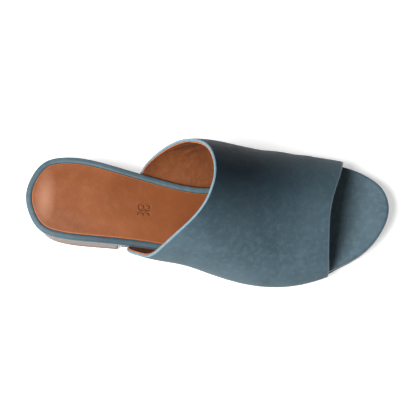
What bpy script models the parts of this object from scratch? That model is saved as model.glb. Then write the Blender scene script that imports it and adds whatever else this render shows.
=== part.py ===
"""Low heel mule, a right shoe, standing on its heel and its forefoot.

The toe points along +X, the medial side is +Y and the floor is z = 0. The origin is the middle of
the face that the top lift stands on. A station is a distance from the back of the heel towards the
toe, and a side is a distance from the long axis, positive to the medial side. Tables give both as
shares of the named sizes.
"""

import math

import bmesh
import bpy
import numpy as np

# Sizes of the last and the footbed, in metres
LENGTH = 0.250
BALL_WIDTH = 0.088
WAIST_WIDTH = 0.050
HEEL_WIDTH = 0.057
HEEL_RISE = 0.0208
TOE_SPRING = 0.0046
INSTEP_HEIGHT = 0.0670
TOE_BOX_HEIGHT = 0.0275

# Thicknesses and clearances
WALL = 0.0026
FOOTBED_THICKNESS = 0.0040
SOCK_THICKNESS = 0.0010
OUTSOLE_THICKNESS = 0.0032
LIFT_THICKNESS = 0.0038
GAP = 0.0003

# Edges and margins
RIM_WIDTH = 0.0040
RIM_CROWN = 0.0004
RIM_ROUNDING = 0.0015
POCKET_RUN_OUT = 0.0120
SOCK_FRONT = 0.190
LASTING_MARGIN = 0.0110
CORNER_RADIUS = 0.0030
OUTSOLE_STEP = 0.0010
OUTSOLE_CHAMFER = 0.0008
HEEL_INSET = 0.0005
BREAST_LATERAL = 0.0620
BREAST_MEDIAL = 0.0690
BREAST_LEAN = 0.0045

# How finely the solids are faceted
SIDE_POINTS = 46
ACROSS = 4
ALONG_UPPER = 24
FLANGE_STEPS = 2
CORNER_STEPS = 3
LOWER_STEPS = 5
ARCH_STEPS = 12

# Height of the footbed's top face at the ball, through every layer under it
BALL_HEIGHT = OUTSOLE_THICKNESS + GAP + WALL + GAP + FOOTBED_THICKNESS
STACK_UNDER_MARGIN = FOOTBED_THICKNESS + GAP + WALL
# Station of the middle of the top lift
ORIGIN_STATION = (HEEL_INSET + (BREAST_LATERAL + BREAST_MEDIAL) / 2) / 2

# Outline of the footbed: the station is a share of LENGTH, and the sides are shares of the width
# that the last column names. The first and the last row are the back of the heel and the toe.
OUTLINE_COLUMNS = ("station", "medial", "lateral", "width")
OUTLINE = (
    (0.000, 0.062, -0.062, "heel"),
    (0.012, 0.270, 0.175, "heel"),
    (0.046, 0.465, 0.375, "heel"),
    (0.100, 0.532, 0.457, "heel"),
    (0.165, 0.520, 0.482, "heel"),
    (0.230, 0.463, 0.493, "heel"),
    (0.300, 0.392, 0.508, "heel"),
    (0.380, 0.362, 0.614, "waist"),
    (0.450, 0.312, 0.682, "waist"),
    (0.520, 0.330, 0.814, "waist"),
    (0.580, 0.246, 0.513, "ball"),
    (0.640, 0.337, 0.537, "ball"),
    (0.700, 0.412, 0.539, "ball"),
    (0.760, 0.436, 0.514, "ball"),
    (0.820, 0.429, 0.460, "ball"),
    (0.880, 0.400, 0.380, "ball"),
    (0.940, 0.330, 0.262, "ball"),
    (0.982, 0.232, 0.106, "ball"),
    (1.000, 0.068, -0.068, "ball"),
)
WIDTHS = {"heel": HEEL_WIDTH, "waist": WAIST_WIDTH, "ball": BALL_WIDTH}

# Side view of the footbed's top face: shares of LENGTH, of HEEL_RISE and of TOE_SPRING
PROFILE_COLUMNS = ("station", "heel", "toe")
PROFILE = (
    (0.00, 1.02, 0.00),
    (0.10, 1.00, 0.00),
    (0.20, 0.95, 0.00),
    (0.30, 0.82, 0.00),
    (0.40, 0.61, 0.00),
    (0.50, 0.35, 0.00),
    (0.60, 0.10, 0.00),
    (0.66, 0.00, 0.00),
    (0.76, 0.00, 0.00),
    (0.84, 0.00, 0.24),
    (0.92, 0.00, 0.62),
    (1.00, 0.00, 1.00),
)

# Sections of the upper. The station is a share of LENGTH. "ridge" is 1 at the instep's height and 0
# at the toe box's height. "ridge_side" and the two bulges past the footbed's edge are shares of
# BALL_WIDTH. The two "wide" heights are those of the widest lines above the footbed, as shares of
# INSTEP_HEIGHT. The last two columns are the powers that make each half of the arch fuller.
SECTION_COLUMNS = (
    "station", "ridge", "ridge_side", "lateral_bulge", "lateral_wide", "medial_bulge", "medial_wide",
    "lateral_power", "medial_power",
)
SECTIONS = (
    (0.29, 0.95, 0.020, 0.034, 0.090, 0.085, 0.260, 1.50, 2.05),
    (0.36, 1.01, 0.035, 0.064, 0.145, 0.166, 0.330, 1.50, 2.10),
    (0.43, 1.04, 0.055, 0.052, 0.120, 0.249, 0.365, 1.55, 2.10),
    (0.50, 1.01, 0.070, 0.024, 0.055, 0.277, 0.350, 1.62, 1.95),
    (0.56, 0.835, 0.090, 0.007, 0.020, 0.223, 0.325, 1.70, 1.90),
    (0.62, 0.62, 0.105, 0.003, 0.000, 0.133, 0.225, 1.72, 1.90),
    (0.70, 0.357, 0.100, 0.003, -0.015, 0.038, 0.090, 1.70, 1.90),
    (0.78, 0.150, 0.068, 0.003, -0.015, 0.004, 0.015, 1.65, 1.90),
    (0.88, -0.060, 0.034, 0.003, -0.015, 0.002, -0.010, 1.60, 1.90),
)

# Ends of the upper round a section. "around" is -1 at the lateral margin, 0 on the ridge and 1 at
# the medial margin, and the collar and the front edge are shares of LENGTH.
ENDS_COLUMNS = ("around", "collar", "front")
ENDS = (
    (-1.00, 0.287, 0.834),
    (-0.85, 0.287, 0.835),
    (-0.70, 0.300, 0.836),
    (-0.55, 0.348, 0.838),
    (-0.45, 0.379, 0.838),
    (-0.35, 0.416, 0.835),
    (-0.25, 0.460, 0.833),
    (-0.12, 0.506, 0.832),
    (0.00, 0.523, 0.836),
    (0.12, 0.525, 0.845),
    (0.24, 0.515, 0.856),
    (0.36, 0.492, 0.863),
    (0.48, 0.447, 0.867),
    (0.60, 0.396, 0.869),
    (0.72, 0.348, 0.869),
    (0.85, 0.314, 0.868),
    (1.00, 0.311, 0.868),
)
# Shares of "around" at which the arch, the wall and the corner end
ARCH_END_SHARE = 0.60
WALL_END_SHARE = 0.85
CORNER_END_SHARE = 0.92


def columns(names, table):
    """The table's columns by name."""
    return {name: np.array([row[i] for row in table]) for i, name in enumerate(names)}


def natural_curve(knots, rows, at):
    """The smoothest curve through the rows, read at the places in `at`."""
    knots = np.asarray(knots, float)
    rows = np.asarray(rows, float)
    span = np.diff(knots)
    system = np.eye(len(knots))
    right = np.zeros_like(rows)
    for i in range(1, len(knots) - 1):
        system[i, i - 1 : i + 2] = span[i - 1], 2 * (span[i - 1] + span[i]), span[i]
        right[i] = 6 * ((rows[i + 1] - rows[i]) / span[i] - (rows[i] - rows[i - 1]) / span[i - 1])
    bend = np.linalg.solve(system, right)
    at = np.asarray(at, float)
    i = np.clip(np.searchsorted(knots, at, side="right") - 1, 0, len(knots) - 2)
    before = (knots[i + 1] - at) / span[i]
    step = span[i]
    if rows.ndim > 1:
        before = before[..., None]
        step = step[..., None]
    after = 1 - before
    curved = (before**3 - before) * bend[i] + (after**3 - after) * bend[i + 1]
    return before * rows[i] + after * rows[i + 1] + curved * step**2 / 6


def level_curve(knots, values, at):
    """A smooth curve that never passes its rows, so that it stays level between equal ones."""
    span = np.diff(knots)
    slope = np.diff(values) / span
    tangent = np.zeros(len(knots))
    tangent[0] = slope[0]
    tangent[-1] = slope[-1]
    for i in range(1, len(knots) - 1):
        if slope[i - 1] * slope[i] > 0:
            tangent[i] = 2 * slope[i - 1] * slope[i] / (slope[i - 1] + slope[i])
    i = np.clip(np.searchsorted(knots, at, side="right") - 1, 0, len(knots) - 2)
    t = np.clip((at - knots[i]) / span[i], 0, 1)
    ends = (1 + 2 * t) * (1 - t) ** 2 * values[i] + t**2 * (3 - 2 * t) * values[i + 1]
    return ends + span[i] * (t * (1 - t) ** 2 * tangent[i] - t**2 * (1 - t) * tangent[i + 1])


def soft_step(low, high, at):
    t = np.clip((at - low) / (high - low), 0, 1)
    return t * t * (3 - 2 * t)


def footbed_top(station):
    """Height of the footbed's top face above the floor."""
    table = columns(PROFILE_COLUMNS, PROFILE)
    share = np.asarray(station, float) / LENGTH
    heel = level_curve(table["station"], table["heel"], share)
    toe = level_curve(table["station"], table["toe"], share)
    return BALL_HEIGHT + HEEL_RISE * heel + TOE_SPRING * toe


def dense_outline():
    """Each side of the footbed's outline from heel to toe, with the direction that points out."""
    table = columns(OUTLINE_COLUMNS, OUTLINE)
    width = np.array([WIDTHS[name] for name in table["width"]])
    medial = np.c_[table["station"] * LENGTH, table["medial"] * width]
    lateral = np.c_[table["station"] * LENGTH, -table["lateral"] * width]
    loop = np.concatenate([medial, lateral[-2:0:-1]])
    overlap = 6
    rows = np.concatenate([loop[-overlap:], loop, loop[: overlap + 1]])
    knots = np.r_[0, np.cumsum(np.hypot(*np.diff(rows, axis=0).T))]
    heel = knots[overlap]
    toe = knots[overlap + len(medial) - 1]
    back = knots[overlap + len(loop)]
    sides = []
    for first, last, turn in ((heel, toe, 1), (back, toe, -1)):
        at = np.linspace(first, last, 500)
        near = abs(at[1] - at[0]) / 2
        ahead = natural_curve(knots, rows, at + turn * near)
        tangent = ahead - natural_curve(knots, rows, at - turn * near)
        tangent /= np.hypot(*tangent.T)[:, None]
        sides.append((natural_curve(knots, rows, at), turn * np.c_[-tangent[:, 1], tangent[:, 0]]))
    return sides


MEDIAL, LATERAL = 0, 1
OUTLINE_SIDES = dense_outline()


def edge_line(side, inset, first=None, last=None):
    """One side of the outline moved in by the inset, between two stations or the outline's ends."""
    points, outward = OUTLINE_SIDES[side]
    if callable(inset):
        inset = inset(points[:, 0])[:, None]
    moved = points - outward * inset
    share = np.linspace(0, 1, len(moved))
    even = np.linspace(0, 1, SIDE_POINTS)
    # Closer together at the heel and the toe, where the outline turns
    at = even - 0.07 * np.sin(2 * math.pi * even)
    at = np.sort(np.r_[at, np.interp(margin_steps(side), moved[:, 0], share)])
    if first is not None:
        at = np.maximum(at, np.interp(first, moved[:, 0], share))
    if last is not None:
        at = np.minimum(at, np.interp(last, moved[:, 0], share))
    return np.c_[np.interp(at, share, moved[:, 0]), np.interp(at, share, moved[:, 1])]


def edge_side(station, side):
    """Side of the footbed's edge at a station, and how much longer its cross cut is than its normal."""
    points, outward = OUTLINE_SIDES[side]
    at = np.interp(station, points[:, 0], points[:, 1])
    slant = np.interp(station, points[:, 0], 1 / np.maximum(np.abs(outward[:, 1]), 0.3))
    return at, slant


def ring(inset, height, first=(None, None), last=(None, None)):
    """Both sides of a line round the shoe, as paired points at the given height."""
    pair = []
    for side in (MEDIAL, LATERAL):
        line = edge_line(side, inset, first[side], last[side])
        z = height(line[:, 0], side) if callable(height) else np.full(len(line), height)
        pair.append(np.c_[line, z])
    return np.array(pair)


def place(points):
    """From stations to the shoe's own frame."""
    points = np.array(points, float)
    points[..., 0] -= ORIGIN_STATION
    return points


def new_object(name, bm, collection):
    bmesh.ops.remove_doubles(bm, verts=bm.verts, dist=1e-6)
    bmesh.ops.recalc_face_normals(bm, faces=bm.faces)
    mesh = bpy.data.meshes.new(name)
    bm.to_mesh(mesh)
    bm.free()
    mesh.shade_smooth()
    mesh.set_sharp_from_angle(angle=math.radians(40))
    made = bpy.data.objects.new(name, mesh)
    collection.objects.link(made)
    return made


def grid_faces(bm, grid):
    """Four-sided faces over a grid of vertices, as rows of columns."""
    for near, far in zip(grid, grid[1:]):
        for i in range(len(near) - 1):
            bm.faces.new((near[i], near[i + 1], far[i + 1], far[i]))


def loft(name, rings, collection, first_face=None, last_face=None):
    """A closed solid through paired rings, filled from side to side at the first and the last."""
    bm = bmesh.new()
    rows = []
    share = np.linspace(0, 1, ACROSS + 1)[:, None, None]
    for pair in rings:
        sheet = pair[MEDIAL] * (1 - share) + pair[LATERAL] * share
        loop = np.concatenate([sheet[0], sheet[1:-1, -1], sheet[-1, ::-1], sheet[-2:0:-1, 0]])
        made = [bm.verts.new(point) for point in place(loop)]
        rows.append(made + made[:1])
    grid_faces(bm, rows)
    for pair, face in ((rings[0], first_face), (rings[-1], last_face)):
        sheet = pair[MEDIAL] * (1 - share) + pair[LATERAL] * share
        if face is not None:
            sheet[1:-1, 1:-1, 2] = face(sheet[1:-1, 1:-1, 0])
        grid_faces(bm, [[bm.verts.new(point) for point in row] for row in place(sheet)])
    return new_object(name, bm, collection)


def margin_ends(side):
    """Stations between which the upper's margin lies under the footbed's edge."""
    under = np.linspace(WALL_END_SHARE, 1, 16) * (1 if side == MEDIAL else -1)
    ends = columns(ENDS_COLUMNS, ENDS)
    collar = natural_curve(ends["around"], ends["collar"], under)
    front = natural_curve(ends["around"], ends["front"], under)
    return collar.min() * LENGTH, front.max() * LENGTH


def margin_steps(side):
    """Stations of the points on both sides of each end of the margin's rebate."""
    first, last = margin_ends(side)
    return np.array([first - 2 * GAP, first - GAP, last + GAP, last + 2 * GAP])


def footbed_edge_bottom(station, side):
    """Underside of the footbed's edge: raised by the upper's wall where its margin passes."""
    first, last = margin_ends(side)
    inside = (station > first - 1.5 * GAP) & (station < last + 1.5 * GAP)
    return footbed_bottom(station) + (WALL + GAP) * inside


def footbed_bottom(station):
    return footbed_top(station) - STACK_UNDER_MARGIN


def above(face, offset):
    """Height of a ring's points: the face at their stations, moved up by the offset."""
    return lambda station, side: face(station) + offset


def make_footbed(collection):
    """The wrapped platform: a rounded rim round a shallow pocket that runs out at the toe."""

    def bare_toe(station):
        return soft_step(SOCK_FRONT + POCKET_RUN_OUT / 4, SOCK_FRONT + POCKET_RUN_OUT, station)

    def pocket_floor(station):
        return footbed_top(station) - (SOCK_THICKNESS + GAP) * (1 - bare_toe(station))

    def crowned(share):
        return lambda x, side: footbed_top(x) + RIM_CROWN * share * (1 - bare_toe(x))

    rings = [
        ring(RIM_WIDTH + GAP / 2, above(pocket_floor, 0)),
        ring(RIM_WIDTH, crowned(-0.3)),
        ring(RIM_WIDTH * 0.75, crowned(0.8)),
        ring(RIM_WIDTH * 0.45, crowned(1)),
        ring(RIM_WIDTH * 0.15, above(footbed_top, 0)),
        ring(0, above(footbed_top, -RIM_ROUNDING)),
        ring(0, lambda x, side: footbed_edge_bottom(x, side) + OUTSOLE_CHAMFER),
        ring(OUTSOLE_CHAMFER, footbed_edge_bottom),
        ring(LASTING_MARGIN + GAP, footbed_edge_bottom),
        ring(LASTING_MARGIN + 2 * GAP, above(footbed_bottom, 0)),
    ]
    return loft("footbed", rings, collection, pocket_floor, footbed_bottom)


def make_insole(collection):
    """The sock: a thin leather sheet that lies in the footbed's pocket."""
    edge = RIM_WIDTH + 2 * GAP
    soft = SOCK_THICKNESS / 2
    ends = (SOCK_FRONT, SOCK_FRONT)
    inner = (SOCK_FRONT - soft, SOCK_FRONT - soft)
    rings = [
        ring(edge + soft, above(footbed_top, 0), last=inner),
        ring(edge, above(footbed_top, -soft), last=ends),
        ring(edge, above(footbed_top, -SOCK_THICKNESS), last=ends),
    ]
    return loft(
        "insole", rings, collection, footbed_top, lambda x: footbed_top(x) - SOCK_THICKNESS
    )


def outsole_edge(station):
    """The outsole's edge against the footbed's: proud of it where the upper lies over it."""
    table = columns(ENDS_COLUMNS, ENDS)
    first = table["collar"].min() * LENGTH
    last = table["front"].max() * LENGTH
    ramp = LASTING_MARGIN
    return -OUTSOLE_STEP * soft_step(first, first + ramp, station) * (
        1 - soft_step(last - ramp, last, station)
    )


def outsole_top(station):
    return footbed_bottom(station) - GAP


def make_outsole(collection):
    """A thin sole from the heel breast to the toe, level under the ball and sprung at the toe."""
    chamfer = OUTSOLE_CHAMFER
    start = (BREAST_MEDIAL + BREAST_LEAN + GAP, BREAST_LATERAL + BREAST_LEAN + GAP)

    def level(inset, drop):
        return ring(lambda x: outsole_edge(x) + inset, above(outsole_top, -drop), first=start)

    rings = [
        level(chamfer, 0),
        level(0, chamfer),
        level(0, OUTSOLE_THICKNESS - chamfer),
        level(chamfer, OUTSOLE_THICKNESS),
    ]
    return loft(
        "outsole", rings, collection, outsole_top, lambda x: outsole_top(x) - OUTSOLE_THICKNESS
    )


def heel_ring(inset, height, lean):
    last = (BREAST_MEDIAL + lean, BREAST_LATERAL + lean)
    return ring(inset, height, last=last)


def make_heel(collection):
    """The block: upright sides, and a breast that curves forward to meet the sole."""

    def part_way(share):
        floor = LIFT_THICKNESS + GAP
        return lambda x, side: floor + (outsole_top(x) - floor) * share

    rings = [
        heel_ring(HEEL_INSET, part_way(1), BREAST_LEAN),
        heel_ring(HEEL_INSET, part_way(0.85), BREAST_LEAN * 0.55),
        heel_ring(HEEL_INSET, part_way(0.65), BREAST_LEAN * 0.22),
        heel_ring(HEEL_INSET, part_way(0.4), 0),
        heel_ring(HEEL_INSET, part_way(0), 0),
    ]
    return loft("heel", rings, collection, outsole_top)


def make_top_lift(collection):
    chamfer = OUTSOLE_CHAMFER
    rings = [
        heel_ring(HEEL_INSET, LIFT_THICKNESS, 0),
        heel_ring(HEEL_INSET, chamfer / 2, 0),
        heel_ring(HEEL_INSET + chamfer, 0, -chamfer),
    ]
    return loft("top_lift", rings, collection)


def section_point(station, around):
    """A point of the upper's outer face at a station, `around` from margin to margin."""
    table = columns(SECTION_COLUMNS, SECTIONS)
    share = station / LENGTH
    row = {
        name: natural_curve(table["station"], table[name], share) for name in SECTION_COLUMNS[1:]
    }
    medial = around > 0
    sign = np.where(medial, 1.0, -1.0)
    edges = [edge_side(station, side) for side in (MEDIAL, LATERAL)]
    edge = np.where(medial, edges[MEDIAL][0], edges[LATERAL][0])
    slant = np.where(medial, edges[MEDIAL][1], edges[LATERAL][1])
    bulge = np.where(medial, row["medial_bulge"], row["lateral_bulge"]) * BALL_WIDTH
    wide = np.where(medial, row["medial_wide"], row["lateral_wide"]) * INSTEP_HEIGHT
    power = np.where(medial, row["medial_power"], row["lateral_power"])
    top = footbed_top(station)
    foot = top - STACK_UNDER_MARGIN
    base = edge + sign * (WALL + GAP) * slant
    widest = base + sign * bulge
    ridge = TOE_BOX_HEIGHT + (INSTEP_HEIGHT - TOE_BOX_HEIGHT) * row["ridge"]
    ridge_side = row["ridge_side"] * BALL_WIDTH
    away = np.abs(around)
    # Arch: from the ridge out to the widest line
    turn = np.clip(away / ARCH_END_SHARE, 0, 1) * math.pi / 2
    out = np.sin(turn) ** (2 / power)
    up = np.cos(turn) ** (2 / power)
    y = ridge_side + (widest - ridge_side) * out
    z = top + wide + (ridge - wide) * up
    # Wall: from the widest line in to the corner over the sole
    down = np.clip((away - ARCH_END_SHARE) / (WALL_END_SHARE - ARCH_END_SHARE), 0, 1)
    y = np.where(away > ARCH_END_SHARE, widest - sign * bulge * down**2, y)
    low = foot + CORNER_RADIUS
    z = np.where(away > ARCH_END_SHARE, top + wide + (low - top - wide) * down, z)
    # Corner: round the footbed's edge
    round_turn = np.clip((away - WALL_END_SHARE) / (CORNER_END_SHARE - WALL_END_SHARE), 0, 1) * math.pi / 2
    y = np.where(away > WALL_END_SHARE, base - sign * CORNER_RADIUS * (1 - np.cos(round_turn)), y)
    z = np.where(away > WALL_END_SHARE, low - CORNER_RADIUS * np.sin(round_turn), z)
    # Margin: in under the footbed
    margin = np.clip((away - CORNER_END_SHARE) / (1 - CORNER_END_SHARE), 0, 1)
    reach = (LASTING_MARGIN + WALL + GAP - CORNER_RADIUS) * slant
    y = np.where(away > CORNER_END_SHARE, base - sign * (CORNER_RADIUS + reach * margin), y)
    z = np.where(away > CORNER_END_SHARE, foot, z)
    return np.stack([station, y, z], axis=-1)


def around_steps():
    """Places round the section at which the upper has a line of points."""
    half = np.concatenate([
        np.linspace(0, ARCH_END_SHARE, ARCH_STEPS + 1),
        np.linspace(ARCH_END_SHARE, WALL_END_SHARE, LOWER_STEPS + 1)[1:],
        np.linspace(WALL_END_SHARE, CORNER_END_SHARE, CORNER_STEPS + 1)[1:],
        np.linspace(CORNER_END_SHARE, 1, FLANGE_STEPS + 1)[1:],
    ])
    return np.concatenate([-half[:0:-1], half])


def make_upper(collection):
    """The vamp: an open sheet from the collar to the front edge, given its wall inwards."""
    around = around_steps()
    ends = columns(ENDS_COLUMNS, ENDS)
    collar = natural_curve(ends["around"], ends["collar"], around) * LENGTH
    front = natural_curve(ends["around"], ends["front"], around) * LENGTH
    share = np.linspace(0, 1, ALONG_UPPER + 1)[:, None]
    stations = collar * (1 - share) + front * share
    sheet = section_point(stations, np.broadcast_to(around, stations.shape))
    bm = bmesh.new()
    grid_faces(bm, [[bm.verts.new(point) for point in row] for row in place(sheet)])
    upper = new_object("upper", bm, collection)
    highest = max(upper.data.polygons, key=lambda face: face.center.z)
    if highest.normal.z < 0:
        upper.data.flip_normals()
    wall = upper.modifiers.new("wall", "SOLIDIFY")
    wall.thickness = WALL
    wall.offset = -1
    wall.use_even_offset = True
    wall.use_quality_normals = True
    return upper


def finish(obj, color, roughness):
    material = bpy.data.materials.new(obj.name)
    material.use_nodes = True
    shader = material.node_tree.nodes["Principled BSDF"]
    shader.inputs["Base Color"].default_value = (*color, 1)
    shader.inputs["Roughness"].default_value = roughness
    shader.inputs["Metallic"].default_value = 0
    obj.data.materials.append(material)


def main():
    for obj in list(bpy.data.objects):
        bpy.data.objects.remove(obj)
    collection = bpy.data.collections.new("low_heel_mule")
    bpy.context.scene.collection.children.link(collection)
    slate = (0.09, 0.15, 0.19)
    tan = (0.40, 0.14, 0.06)
    finish(make_upper(collection), slate, 0.6)
    finish(make_footbed(collection), slate, 0.6)
    finish(make_insole(collection), tan, 0.5)
    finish(make_outsole(collection), (0.03, 0.025, 0.022), 0.7)
    finish(make_heel(collection), (0.25, 0.17, 0.13), 0.5)
    finish(make_top_lift(collection), (0.03, 0.025, 0.022), 0.8)


main()
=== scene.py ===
"""The looks of the low heel mule, a right shoe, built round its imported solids.

The toe points along +X, the medial side is +Y and the floor is z = 0. Lengths are in metres. Every
piece follows the same last as the solids do, with more points, a leather and a lining of their own,
creases, and a procedural material.
"""

import math

import bmesh
import bpy
import numpy as np
from mathutils import Matrix, Vector


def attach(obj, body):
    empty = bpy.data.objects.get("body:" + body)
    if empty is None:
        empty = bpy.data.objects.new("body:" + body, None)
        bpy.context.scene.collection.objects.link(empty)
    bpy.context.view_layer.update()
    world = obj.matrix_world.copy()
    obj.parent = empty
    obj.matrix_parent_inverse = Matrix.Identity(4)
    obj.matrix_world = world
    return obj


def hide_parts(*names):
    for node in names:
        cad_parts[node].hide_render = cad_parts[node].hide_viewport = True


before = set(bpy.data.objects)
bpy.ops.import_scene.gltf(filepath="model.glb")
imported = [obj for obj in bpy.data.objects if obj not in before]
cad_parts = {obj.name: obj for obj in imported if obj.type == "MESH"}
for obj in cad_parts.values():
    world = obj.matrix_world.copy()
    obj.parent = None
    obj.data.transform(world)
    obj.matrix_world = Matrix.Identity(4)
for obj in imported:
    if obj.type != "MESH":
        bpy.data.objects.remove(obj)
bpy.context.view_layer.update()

BODY = "root"

# Sizes of the last and the footbed, as in the solids
LENGTH = 0.250
BALL_WIDTH = 0.088
WAIST_WIDTH = 0.050
HEEL_WIDTH = 0.057
HEEL_RISE = 0.0208
TOE_SPRING = 0.0046
INSTEP_HEIGHT = 0.0670
TOE_BOX_HEIGHT = 0.0275
WALL = 0.0026
FOOTBED_THICKNESS = 0.0040
SOCK_THICKNESS = 0.0010
OUTSOLE_THICKNESS = 0.0032
LIFT_THICKNESS = 0.0038
GAP = 0.0003
RIM_WIDTH = 0.0040
RIM_CROWN = 0.0004
RIM_ROUNDING = 0.0015  # how far the rim's rounded edge drops
POCKET_RUN_OUT = 0.0120
SOCK_FRONT = 0.190
LASTING_MARGIN = 0.0110
CORNER_RADIUS = 0.0030
OUTSOLE_STEP = 0.0010
OUTSOLE_CHAMFER = 0.0008
CHAMFER_BEND = 0.3  # share of a chamfer at which its rounding bends
HEEL_INSET = 0.0005
BREAST_LATERAL = 0.0620
BREAST_MEDIAL = 0.0690
BREAST_LEAN = 0.0045
BALL_HEIGHT = OUTSOLE_THICKNESS + GAP + WALL + GAP + FOOTBED_THICKNESS
STACK_UNDER_MARGIN = FOOTBED_THICKNESS + GAP + WALL
ORIGIN_STATION = (HEEL_INSET + (BREAST_LATERAL + BREAST_MEDIAL) / 2) / 2

# Sizes of what only the looks have
LEATHER_SHARE = 0.66  # of the wall, and the rest is the lining
PLY_GAP = 0.00004
LINING_SETBACK = 0.0003
PAINTED_EDGE = 0.0005
UPPER_LENGTH_SHARE = 0.4  # of LENGTH, for the width of the painted edge
CUT_ROUNDNESS = 0.7  # of half a circle, for the cut edges of the leather
CREASE_BODY = 0.55  # share of a crease that has its full depth
CREASE_RUN_OUT = 2.5  # how much further away the rest counts, so that it runs out softly
SOCK_CROWN = 0.0008
SOCK_CROWN_WIDTH = 0.016
RAW_EDGE = 0.0007
RIM_ROLL = 0.0022  # how far the rim's rounded edge reaches in
ROLL_CROWN = 0.8  # of RIM_CROWN, where the rounded edge starts
TREAD_DEPTH = 0.0004
TREAD_PITCH = 0.0040
TREAD_BORDER = 0.0075
TREAD_BORDER_RAMP = 0.0010
TREAD_START = 0.105
TREAD_END = 0.235
TREAD_END_RAMP = 0.003
LAYER_PITCH = 0.0027

# Where the size is stamped on the sock, and how large it is
STAMP_STATION = 0.0820
STAMP_SIDE = -0.0044
STAMP_HEIGHT = 0.0078
STAMP_STROKE = 0.0014
STAMP_DEPTH = 0.0006
DIGIT_SPREAD = 0.34  # of the height, from the middle of the number to the middle of each digit
DIGIT_NARROWING = 1.12
RING_SPREAD = 0.95  # of a ring's radius, from the middle of a digit to the middle of each ring
THREE_OPENING = 0.35  # of a ring's radius, beyond which the rings of a 3 are open

# Painted shade and highlight on the sock: place of the middle and reach, along and across the shoe
PAINTED_SOCK_SHADE = ((0.100, 0.000), (0.080, 0.060))  # painted shade on the sock, darker under the upper
PAINTED_SOCK_SHADE_STRENGTH = 0.6
PAINTED_SOCK_HIGHLIGHT = ((-0.0195, 0.002), (0.008, 0.021))  # painted highlight on the sock, paler over the heel
PAINTED_SOCK_HIGHLIGHT_STRENGTH = 0.5
PAINTED_SOCK_HIGHLIGHT_COLOR = (0.45, 0.235, 0.150)
PATCH_CORE = 0.15  # share of its reach within which a patch has its full strength

# Patches of painted shade on the upper and the wrap, with their colour and strength too
VAMP_PAINTED_SHADE = ((0.110, 0.024), (0.088, 0.057), (0.0015, 0.0085, 0.0155), 0.95)
WRAP_PAINTED_SHADE = ((0.028, -0.030), (0.050, 0.024), (0.030, 0.062, 0.086), 0.75)

# The camera of the photograph
CAMERA_PLACE = (0.1281, -0.1594, 0.8741)
CAMERA_AIM = (0.0925, -0.0010, 0.0300)
CAMERA_UP = (-0.0397, 0.9705, 0.2379)
CAMERA_LENS = 109.0
SENSOR_WIDTH = 36.0

# The studio's lights: where they stand, their size, their power and their colour
SHOE_MIDDLE = (0.08, 0.0, 0.03)
KEY_LIGHT = ((-0.62, -0.38, 1.22), 0.9, 36.0, (1.0, 0.985, 0.965))
FILL_LIGHT = ((0.5, -0.5, 1.5), 1.2, 2.0, (0.97, 0.985, 1.0))
SKY_STRENGTH = 0.10

# The studio's floor: pale, with a glow that keeps shadows soft
FLOOR_REACH = 12.0
FLOOR_DROP = 0.0002
FLOOR_COLOR = (0.80, 0.80, 0.80, 1)
FLOOR_GLOW = 0.48

# How many points the pieces have, and how they are spread
OUTLINE_POINTS = 900
SIDE_POINTS = 300
ACROSS = 48
ALONG_UPPER = 130
ARCH_STEPS = 66
LOWER_STEPS = 18
CORNER_STEPS = 8
FLANGE_STEPS = 4
EDGE_STEPS = 5
ROLL_STEPS = 10
END_CROWDING = 0.07  # how much closer the points stand at the toe and the heel
LEAST_SIDEWAYS = 0.3  # of an edge's normal, so that no slant grows too long at the toe and the heel

# Outline of the footbed: shares of LENGTH, and of the width that the last column names
OUTLINE_COLUMNS = ("station", "medial", "lateral", "width")
OUTLINE = (
    (0.000, 0.062, -0.062, "heel"),
    (0.012, 0.270, 0.175, "heel"),
    (0.046, 0.465, 0.375, "heel"),
    (0.100, 0.532, 0.457, "heel"),
    (0.165, 0.520, 0.482, "heel"),
    (0.230, 0.463, 0.493, "heel"),
    (0.300, 0.392, 0.508, "heel"),
    (0.380, 0.362, 0.614, "waist"),
    (0.450, 0.312, 0.682, "waist"),
    (0.520, 0.330, 0.814, "waist"),
    (0.580, 0.246, 0.513, "ball"),
    (0.640, 0.337, 0.537, "ball"),
    (0.700, 0.412, 0.539, "ball"),
    (0.760, 0.436, 0.514, "ball"),
    (0.820, 0.429, 0.460, "ball"),
    (0.880, 0.400, 0.380, "ball"),
    (0.940, 0.330, 0.262, "ball"),
    (0.982, 0.232, 0.106, "ball"),
    (1.000, 0.068, -0.068, "ball"),
)
WIDTHS = {"heel": HEEL_WIDTH, "waist": WAIST_WIDTH, "ball": BALL_WIDTH}

# Side view of the footbed's top face: shares of LENGTH, of HEEL_RISE and of TOE_SPRING
PROFILE_COLUMNS = ("station", "heel", "toe")
PROFILE = (
    (0.00, 1.02, 0.00),
    (0.10, 1.00, 0.00),
    (0.20, 0.95, 0.00),
    (0.30, 0.82, 0.00),
    (0.40, 0.61, 0.00),
    (0.50, 0.35, 0.00),
    (0.60, 0.10, 0.00),
    (0.66, 0.00, 0.00),
    (0.76, 0.00, 0.00),
    (0.84, 0.00, 0.24),
    (0.92, 0.00, 0.62),
    (1.00, 0.00, 1.00),
)

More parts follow.
